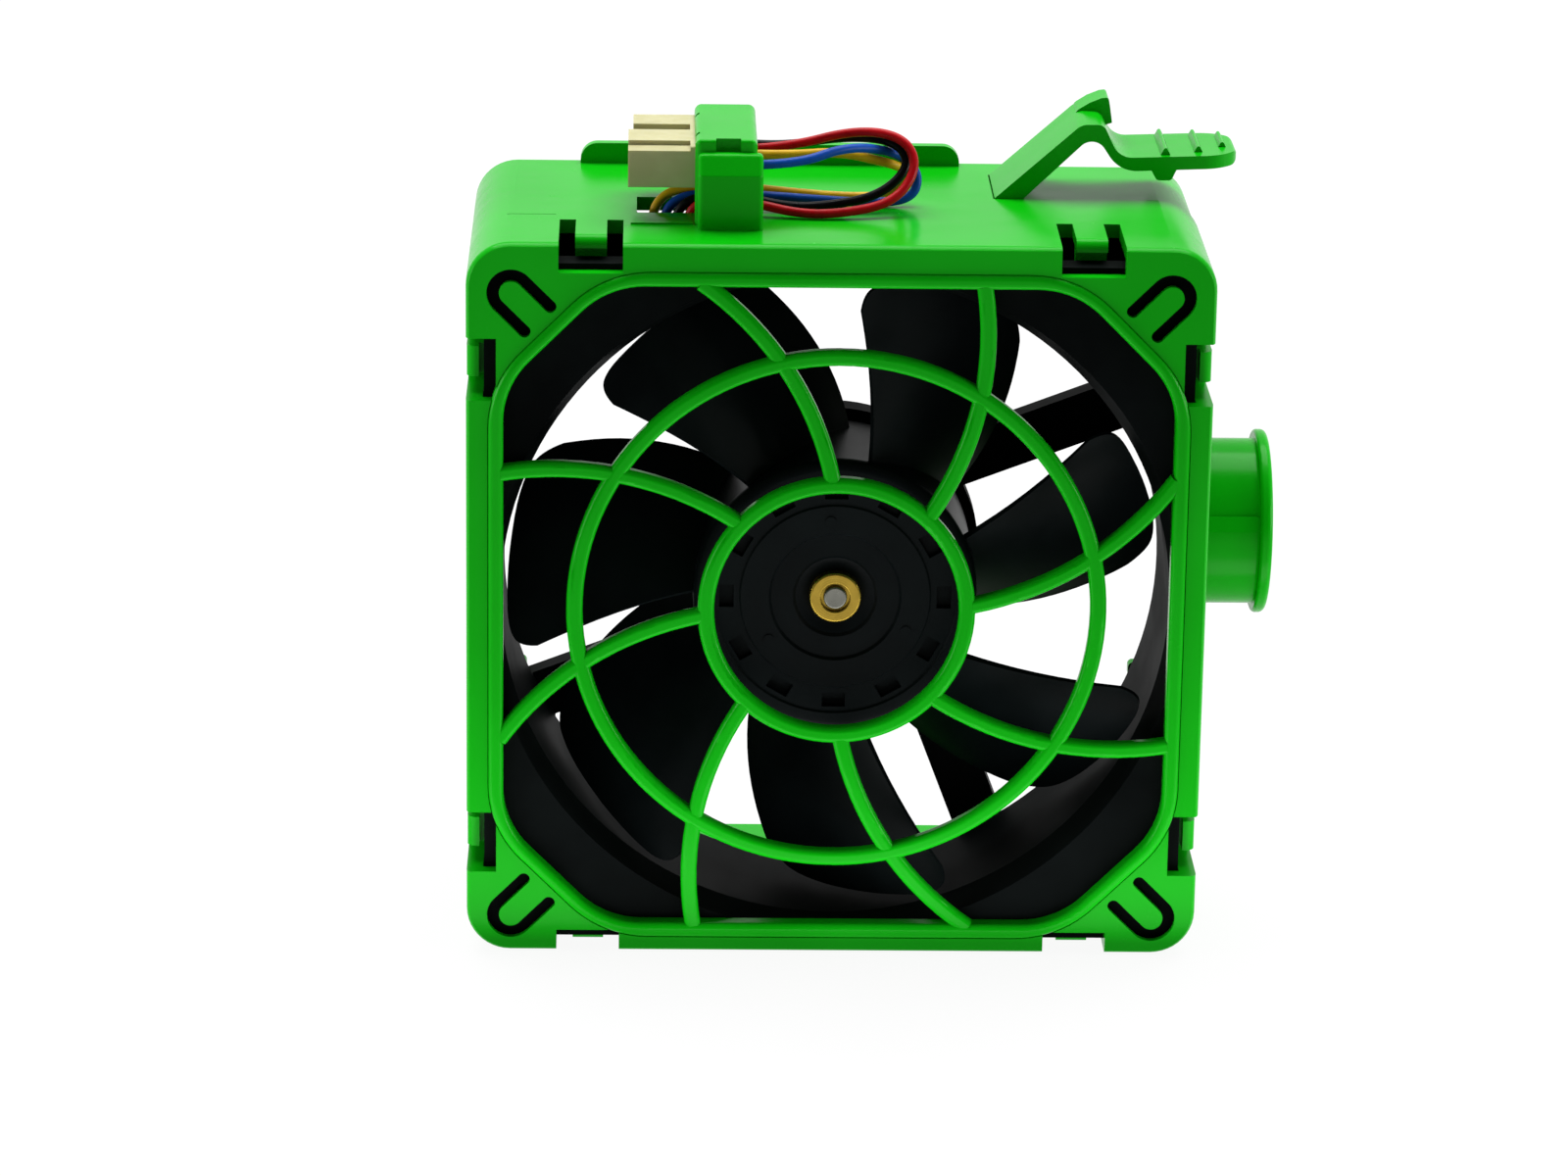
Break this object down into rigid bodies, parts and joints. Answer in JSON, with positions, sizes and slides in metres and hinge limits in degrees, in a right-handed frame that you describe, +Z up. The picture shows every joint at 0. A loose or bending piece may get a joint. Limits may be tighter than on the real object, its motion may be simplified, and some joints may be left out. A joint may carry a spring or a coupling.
{
  "type": "server fan module",
  "caption": "Hot-swap axial fan module: a moulded carrier with a spiral-ribbed front grille, release latch, side spool and lead connector round a DC tube fan.",
  "frame": {"origin": "middle of the carrier's flat base face, on the plane the module stands on", "axes": "+X towards the side spool (right as seen from the grille), +Y from the front grille to the open rear, along the fan's axis of rotation, +Z up towards the connector and latch"},
  "size_m": [0.139, 0.061, 0.1415],
  "materials": {
    "carrier_plastic": "glossy moulded green",
    "grille_plastic": "glossy moulded green",
    "spool_plastic": "glossy moulded green",
    "latch_plastic": "glossy moulded green",
    "holder_plastic": "glossy moulded green",
    "connector_plastic": "ivory nylon",
    "contact_metal": "tinned contact",
    "fan_plastic": "black moulded, semi-gloss bore",
    "impeller_plastic": "black moulded, satin",
    "yoke_steel": "drawn steel",
    "magnet": "bonded ferrite",
    "bush_brass": "turned",
    "shaft_steel": "ground",
    "tube_brass": "turned",
    "bearing_steel": "ground",
    "spring_steel": "bright strip",
    "lamination_steel": "stacked laminations",
    "insulator_plastic": "natural nylon",
    "winding_copper": "enamelled copper wire",
    "board_laminate": "green laminate",
    "chip_plastic": "moulded package",
    "capacitor_can": "drawn can",
    "label_film": "blank silver-grey film",
    "wire_red": "PVC sleeve",
    "wire_yellow": "PVC sleeve",
    "wire_blue": "PVC sleeve",
    "wire_black": "PVC sleeve"
  },
  "bodies": {
    "carrier": {"carrier_housing": "carrier_plastic", "front_grille": "grille_plastic", "side_spool": "spool_plastic", "connector_holder": "holder_plastic", "connector_housing": "connector_plastic", "connector_terminals": "contact_metal", "fan_frame": "fan_plastic", "bearing_tube": "tube_brass", "front_bearing_outer": "bearing_steel", "front_bearing_balls": "bearing_steel", "rear_bearing_outer": "bearing_steel", "rear_bearing_balls": "bearing_steel", "stator_core": "lamination_steel", "insulator_front": "insulator_plastic", "insulator_rear": "insulator_plastic", "stator_coils": "winding_copper", "circuit_board": "board_laminate", "driver_chip": "chip_plastic", "hall_sensor": "chip_plastic", "filter_capacitor": "capacitor_can", "rear_label": "label_film", "wire_red": "wire_red", "wire_yellow": "wire_yellow", "wire_blue": "wire_blue", "wire_black": "wire_black"},
    "rotor": {"impeller": "impeller_plastic", "rotor_yoke": "yoke_steel", "magnet_ring": "magnet", "hub_bush": "bush_brass", "rotor_shaft": "shaft_steel", "front_bearing_inner": "bearing_steel", "rear_bearing_inner": "bearing_steel", "preload_spring": "spring_steel", "retaining_ring": "spring_steel"},
    "latch": {"release_latch": "latch_plastic"}
  },
  "joints": [
    {"name": "rotor_spin", "type": "hinge", "parent": "carrier", "child": "rotor", "pos_m": [0, -0.0185, 0.062], "axis": [0, 1, 0], "continuous": true},
    {"name": "latch_flex", "type": "hinge", "parent": "carrier", "child": "latch", "pos_m": [0.0322, 0.01325, 0.126], "axis": [0, 1, 0], "range_deg": [0, 6.5], "stiffness_Nm_per_rad": 2}
  ]
}
